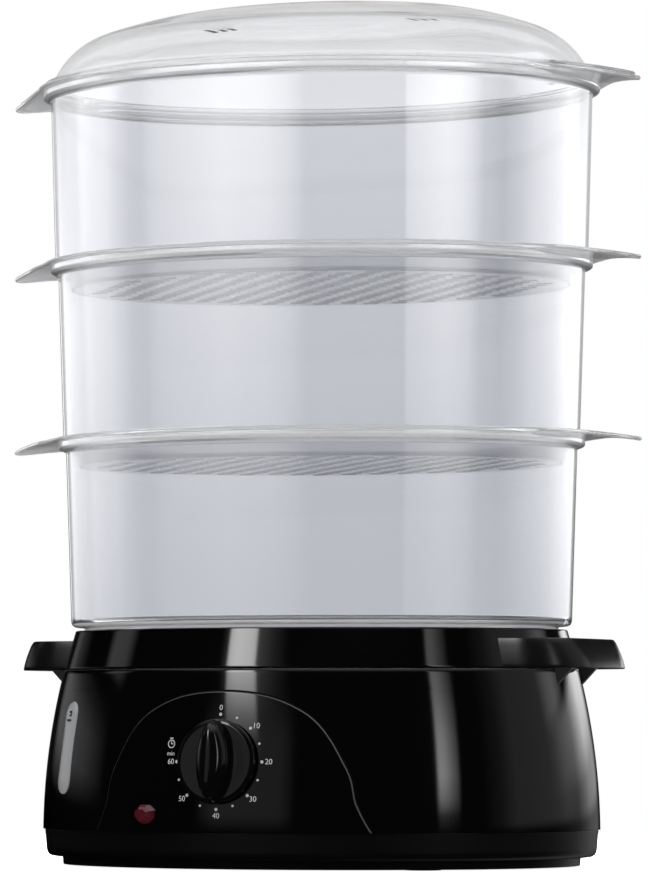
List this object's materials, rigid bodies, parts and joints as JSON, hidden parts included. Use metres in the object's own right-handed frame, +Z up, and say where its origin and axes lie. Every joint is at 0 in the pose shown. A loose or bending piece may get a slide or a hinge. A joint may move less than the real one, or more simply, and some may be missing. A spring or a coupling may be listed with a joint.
{
  "type": "electric food steamer",
  "caption": "Oval electric food steamer: clear stacking baskets under a domed clear lid, on a black drip tray with grips over a flared base with a water tank, heater, dial timer and pilot lamp.",
  "frame": {"origin": "on the table, under the middle of the oval plan", "axes": "+Z up; -Y the front with the dial; +X to the right seen from the front"},
  "size_m": [0.318, 0.238, 0.3957],
  "materials": {
    "black_rubber": "matt rubber",
    "clear_plastic": "clear moulded plastic, polished",
    "element_steel": "tube, heat tinted",
    "gloss_black": "high gloss black",
    "heater_metal": "die cast, brushed face",
    "lead_silicone": "silicone sleeve",
    "nylon_white": "moulded nylon",
    "red_lens": "transparent dark red",
    "satin_black": "satin black, fine grain",
    "seal_rubber": "grey silicone",
    "smoked_window": "translucent grey",
    "steam_ring_plastic": "moulded",
    "tank_plastic": "moulded, fine grain",
    "white_ceramic": "ceramic white",
    "zinc_steel": "zinc plated"
  },
  "bodies": {
    "base": {"housing": "gloss_black", "control_panel": "gloss_black", "bottom_shell": "satin_black", "feet": "black_rubber", "housing_screws": "zinc_steel", "water_tank": "tank_plastic", "water_window": "smoked_window", "window_seal": "seal_rubber", "heater_plate": "heater_metal", "heater_gasket": "seal_rubber", "heater_element": "element_steel", "heater_clamps": "zinc_steel", "heater_screws": "zinc_steel", "thermostat": "white_ceramic", "thermostat_strap": "zinc_steel", "thermal_fuse": "white_ceramic", "steam_ring": "steam_ring_plastic", "timer_body": "nylon_white", "timer_bell": "zinc_steel", "timer_screws": "zinc_steel", "lamp_lens": "red_lens", "lamp_holder": "nylon_white", "neon_lamp": "white_ceramic", "cord_gland": "satin_black", "gland_nut": "satin_black", "terminal_block": "nylon_white", "inner_leads": "lead_silicone"},
    "drip_tray": {"drip_tray": "gloss_black"},
    "basket_bottom": {"basket_bottom": "clear_plastic"},
    "basket_middle": {"basket_middle": "clear_plastic"},
    "basket_top": {"basket_top": "clear_plastic"},
    "lid": {"lid": "clear_plastic"},
    "timer_knob": {"timer_knob": "gloss_black", "timer_shaft": "zinc_steel"}
  },
  "joints": [
    {"name": "drip_tray_lift", "type": "slide", "parent": "base", "child": "drip_tray", "axis": [0, 0, 1], "range_m": [0, 0.1]},
    {"name": "basket_bottom_lift", "type": "slide", "parent": "drip_tray", "child": "basket_bottom", "axis": [0, 0, 1], "range_m": [0, 0.12]},
    {"name": "basket_middle_lift", "type": "slide", "parent": "basket_bottom", "child": "basket_middle", "axis": [0, 0, 1], "range_m": [0, 0.12]},
    {"name": "basket_top_lift", "type": "slide", "parent": "basket_middle", "child": "basket_top", "axis": [0, 0, 1], "range_m": [0, 0.12]},
    {"name": "lid_lift", "type": "slide", "parent": "basket_top", "child": "lid", "axis": [0, 0, 1], "range_m": [0, 0.12]},
    {"name": "timer_turn", "type": "hinge", "parent": "base", "child": "timer_knob", "pos_m": [0, -0.10708, 0.0483], "axis": [0, 0.9938, -0.1114], "range_deg": [0, 270]}
  ]
}
